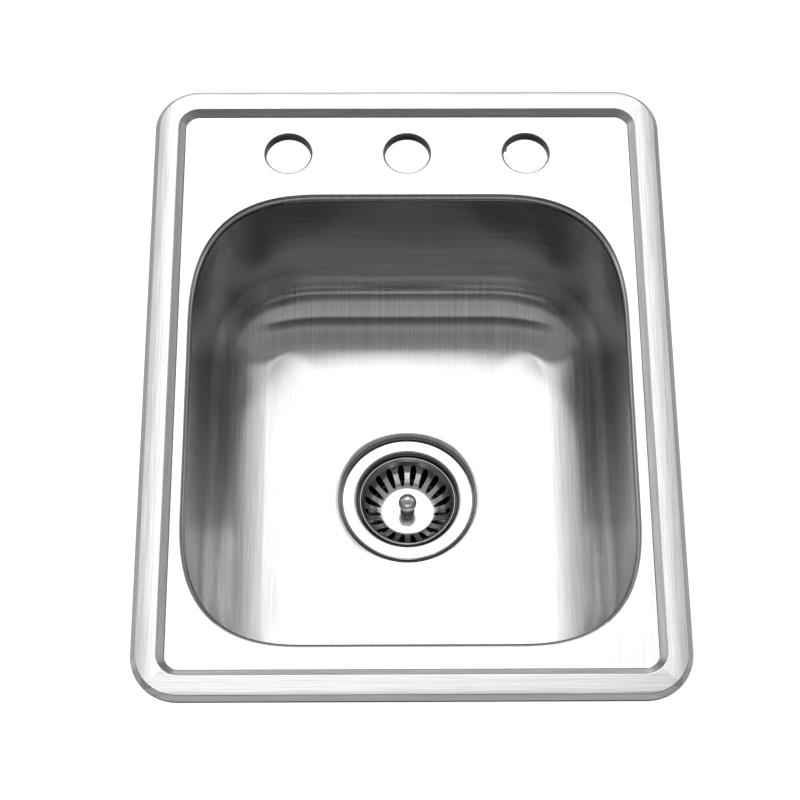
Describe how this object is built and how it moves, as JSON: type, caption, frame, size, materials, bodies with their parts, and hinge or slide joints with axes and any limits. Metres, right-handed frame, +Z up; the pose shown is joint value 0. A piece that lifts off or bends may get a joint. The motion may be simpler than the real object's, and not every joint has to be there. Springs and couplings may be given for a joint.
{
  "type": "single bowl drop-in sink",
  "caption": "Drop-in steel sink with one rounded bowl, a raised rim, a faucet ledge with round holes, a lift-out basket strainer, and clips on rails that grip the countertop from below.",
  "frame": {"origin": "centre of the rim's outline, on the countertop plane that the rim rests on", "axes": "+X to the sink's right, +Y towards the faucet ledge at the back, +Z up out of the bowl"},
  "size_m": [0.4318, 0.5588, 0.3464],
  "materials": {
    "sink_steel": "fine brushed stainless steel, lines along the rim's sides and the bowl's walls",
    "rim_foam": "closed-cell foam strip",
    "pad_rubber": "matt sound-deadening rubber",
    "rail_steel": "plain stainless channel",
    "strainer_steel": "polished stainless steel",
    "basket_steel": "bright pressed stainless steel",
    "knob_chrome": "mirror polished",
    "putty": "plumber's putty",
    "seal_rubber": "black moulded rubber",
    "fibre": "pressed fibre",
    "locknut_zinc": "die-cast zinc",
    "nylon": "natural nylon",
    "poly_white": "white polyethylene",
    "coupling_chrome": "chromed die casting",
    "tail_chrome": "chromed tube",
    "clip_zinc": "zinc-plated steel"
  },
  "bodies": {
    "sink": {"sink_shell": "sink_steel", "rim_gasket": "rim_foam", "sound_pad_left": "pad_rubber", "sound_pad_right": "pad_rubber", "sound_pad_front": "pad_rubber", "sound_pad_back": "pad_rubber", "clip_rail_left": "rail_steel", "clip_rail_right": "rail_steel", "clip_rail_front": "rail_steel", "clip_rail_back": "rail_steel", "strainer_body": "strainer_steel", "flange_putty": "putty", "strainer_washer": "seal_rubber", "friction_ring": "fibre", "strainer_locknut": "locknut_zinc", "catch_spider": "strainer_steel", "tailpiece_washer": "poly_white", "coupling_nut": "coupling_chrome", "tailpiece": "tail_chrome"},
    "catch": {"catch_bush": "nylon"},
    "basket": {"basket": "basket_steel", "basket_knob": "knob_chrome", "lift_post": "strainer_steel", "post_spacer": "strainer_steel", "stopper_plate": "strainer_steel", "stopper_seal": "seal_rubber", "post_nut": "clip_zinc"},
    "bolt_left_front": {"bolt_left_front": "clip_zinc"},
    "washer_left_front": {"washer_left_front": "clip_zinc"},
    "claw_left_front": {"claw_left_front": "clip_zinc"},
    "nut_left_front": {"nut_left_front": "clip_zinc"},
    "bolt_left_back": {"bolt_left_back": "clip_zinc"},
    "washer_left_back": {"washer_left_back": "clip_zinc"},
    "claw_left_back": {"claw_left_back": "clip_zinc"},
    "nut_left_back": {"nut_left_back": "clip_zinc"},
    "bolt_right_front": {"bolt_right_front": "clip_zinc"},
    "washer_right_front": {"washer_right_front": "clip_zinc"},
    "claw_right_front": {"claw_right_front": "clip_zinc"},
    "nut_right_front": {"nut_right_front": "clip_zinc"},
    "bolt_right_back": {"bolt_right_back": "clip_zinc"},
    "washer_right_back": {"washer_right_back": "clip_zinc"},
    "claw_right_back": {"claw_right_back": "clip_zinc"},
    "nut_right_back": {"nut_right_back": "clip_zinc"},
    "bolt_front_left": {"bolt_front_left": "clip_zinc"},
    "washer_front_left": {"washer_front_left": "clip_zinc"},
    "claw_front_left": {"claw_front_left": "clip_zinc"},
    "nut_front_left": {"nut_front_left": "clip_zinc"},
    "bolt_front_right": {"bolt_front_right": "clip_zinc"},
    "washer_front_right": {"washer_front_right": "clip_zinc"},
    "claw_front_right": {"claw_front_right": "clip_zinc"},
    "nut_front_right": {"nut_front_right": "clip_zinc"},
    "bolt_back_left": {"bolt_back_left": "clip_zinc"},
    "washer_back_left": {"washer_back_left": "clip_zinc"},
    "claw_back_left": {"claw_back_left": "clip_zinc"},
    "nut_back_left": {"nut_back_left": "clip_zinc"},
    "bolt_back_right": {"bolt_back_right": "clip_zinc"},
    "washer_back_right": {"washer_back_right": "clip_zinc"},
    "claw_back_right": {"claw_back_right": "clip_zinc"},
    "nut_back_right": {"nut_back_right": "clip_zinc"}
  },
  "joints": [
    {"name": "basket_spin", "type": "hinge", "parent": "sink", "child": "catch", "pos_m": [0, -0.0303, -0.209], "axis": [0, 0, 1], "continuous": true},
    {"name": "basket_lift", "type": "slide", "parent": "catch", "child": "basket", "axis": [0, 0, 1], "range_m": [0, 0.06]},
    {"name": "clip_slide_left_front", "type": "slide", "parent": "sink", "child": "bolt_left_front", "axis": [0, 1, 0], "range_m": [-0.06, 0.06]},
    {"name": "clip_grip_left_front", "type": "slide", "parent": "bolt_left_front", "child": "washer_left_front", "axis": [0, 0, 1], "range_m": [0, 0.02]},
    {"name": "claw_swing_left_front", "type": "hinge", "parent": "washer_left_front", "child": "claw_left_front", "pos_m": [-0.192, -0.1, -0.044], "axis": [0, 0, 1], "range_deg": [0, 90]},
    {"name": "nut_turn_left_front", "type": "hinge", "parent": "washer_left_front", "child": "nut_left_front", "pos_m": [-0.192, -0.1, -0.044], "axis": [0, 0, 1], "range_deg": [0, 7200]},
    {"name": "clip_slide_left_back", "type": "slide", "parent": "sink", "child": "bolt_left_back", "axis": [0, 1, 0], "range_m": [-0.06, 0.06]},
    {"name": "clip_grip_left_back", "type": "slide", "parent": "bolt_left_back", "child": "washer_left_back", "axis": [0, 0, 1], "range_m": [0, 0.02]},
    {"name": "claw_swing_left_back", "type": "hinge", "parent": "washer_left_back", "child": "claw_left_back", "pos_m": [-0.192, 0.1, -0.044], "axis": [0, 0, 1], "range_deg": [0, 90]},
    {"name": "nut_turn_left_back", "type": "hinge", "parent": "washer_left_back", "child": "nut_left_back", "pos_m": [-0.192, 0.1, -0.044], "axis": [0, 0, 1], "range_deg": [0, 7200]},
    {"name": "clip_slide_right_front", "type": "slide", "parent": "sink", "child": "bolt_right_front", "axis": [0, 1, 0], "range_m": [-0.06, 0.06]},
    {"name": "clip_grip_right_front", "type": "slide", "parent": "bolt_right_front", "child": "washer_right_front", "axis": [0, 0, 1], "range_m": [0, 0.02]},
    {"name": "claw_swing_right_front", "type": "hinge", "parent": "washer_right_front", "child": "claw_right_front", "pos_m": [0.192, -0.1, -0.044], "axis": [0, 0, 1], "range_deg": [0, 90]},
    {"name": "nut_turn_right_front", "type": "hinge", "parent": "washer_right_front", "child": "nut_right_front", "pos_m": [0.192, -0.1, -0.044], "axis": [0, 0, 1], "range_deg": [0, 7200]},
    {"name": "clip_slide_right_back", "type": "slide", "parent": "sink", "child": "bolt_right_back", "axis": [0, 1, 0], "range_m": [-0.06, 0.06]},
    {"name": "clip_grip_right_back", "type": "slide", "parent": "bolt_right_back", "child": "washer_right_back", "axis": [0, 0, 1], "range_m": [0, 0.02]},
    {"name": "claw_swing_right_back", "type": "hinge", "parent": "washer_right_back", "child": "claw_right_back", "pos_m": [0.192, 0.1, -0.044], "axis": [0, 0, 1], "range_deg": [0, 90]},
    {"name": "nut_turn_right_back", "type": "hinge", "parent": "washer_right_back", "child": "nut_right_back", "pos_m": [0.192, 0.1, -0.044], "axis": [0, 0, 1], "range_deg": [0, 7200]},
    {"name": "clip_slide_front_left", "type": "slide", "parent": "sink", "child": "bolt_front_left", "axis": [1, 0, 0], "range_m": [-0.04, 0.04]},
    {"name": "clip_grip_front_left", "type": "slide", "parent": "bolt_front_left", "child": "washer_front_left", "axis": [0, 0, 1], "range_m": [0, 0.02]},
    {"name": "claw_swing_front_left", "type": "hinge", "parent": "washer_front_left", "child": "claw_front_left", "pos_m": [-0.065, -0.2555, -0.044], "axis": [0, 0, 1], "range_deg": [0, 90]},
    {"name": "nut_turn_front_left", "type": "hinge", "parent": "washer_front_left", "child": "nut_front_left", "pos_m": [-0.065, -0.2555, -0.044], "axis": [0, 0, 1], "range_deg": [0, 7200]},
    {"name": "clip_slide_front_right", "type": "slide", "parent": "sink", "child": "bolt_front_right", "axis": [1, 0, 0], "range_m": [-0.04, 0.04]},
    {"name": "clip_grip_front_right", "type": "slide", "parent": "bolt_front_right", "child": "washer_front_right", "axis": [0, 0, 1], "range_m": [0, 0.02]},
    {"name": "claw_swing_front_right", "type": "hinge", "parent": "washer_front_right", "child": "claw_front_right", "pos_m": [0.065, -0.2555, -0.044], "axis": [0, 0, 1], "range_deg": [0, 90]},
    {"name": "nut_turn_front_right", "type": "hinge", "parent": "washer_front_right", "child": "nut_front_right", "pos_m": [0.065, -0.2555, -0.044], "axis": [0, 0, 1], "range_deg": [0, 7200]},
    {"name": "clip_slide_back_left", "type": "slide", "parent": "sink", "child": "bolt_back_left", "axis": [1, 0, 0], "range_m": [-0.04, 0.04]},
    {"name": "clip_grip_back_left", "type": "slide", "parent": "bolt_back_left", "child": "washer_back_left", "axis": [0, 0, 1], "range_m": [0, 0.02]},
    {"name": "claw_swing_back_left", "type": "hinge", "parent": "washer_back_left", "child": "claw_back_left", "pos_m": [-0.065, 0.2555, -0.044], "axis": [0, 0, 1], "range_deg": [0, 90]},
    {"name": "nut_turn_back_left", "type": "hinge", "parent": "washer_back_left", "child": "nut_back_left", "pos_m": [-0.065, 0.2555, -0.044], "axis": [0, 0, 1], "range_deg": [0, 7200]},
    {"name": "clip_slide_back_right", "type": "slide", "parent": "sink", "child": "bolt_back_right", "axis": [1, 0, 0], "range_m": [-0.04, 0.04]},
    {"name": "clip_grip_back_right", "type": "slide", "parent": "bolt_back_right", "child": "washer_back_right", "axis": [0, 0, 1], "range_m": [0, 0.02]},
    {"name": "claw_swing_back_right", "type": "hinge", "parent": "washer_back_right", "child": "claw_back_right", "pos_m": [0.065, 0.2555, -0.044], "axis": [0, 0, 1], "range_deg": [0, 90]},
    {"name": "nut_turn_back_right", "type": "hinge", "parent": "washer_back_right", "child": "nut_back_right", "pos_m": [0.065, 0.2555, -0.044], "axis": [0, 0, 1], "range_deg": [0, 7200]}
  ],
  "couplings": [
    {"joint": "nut_turn_left_front", "follows": "clip_grip_left_front", "rad_per_m": 6283.2},
    {"joint": "nut_turn_left_back", "follows": "clip_grip_left_back", "rad_per_m": 6283.2},
    {"joint": "nut_turn_right_front", "follows": "clip_grip_right_front", "rad_per_m": 6283.2},
    {"joint": "nut_turn_right_back", "follows": "clip_grip_right_back", "rad_per_m": 6283.2},
    {"joint": "nut_turn_front_left", "follows": "clip_grip_front_left", "rad_per_m": 6283.2},
    {"joint": "nut_turn_front_right", "follows": "clip_grip_front_right", "rad_per_m": 6283.2},
    {"joint": "nut_turn_back_left", "follows": "clip_grip_back_left", "rad_per_m": 6283.2},
    {"joint": "nut_turn_back_right", "follows": "clip_grip_back_right", "rad_per_m": 6283.2}
  ]
}
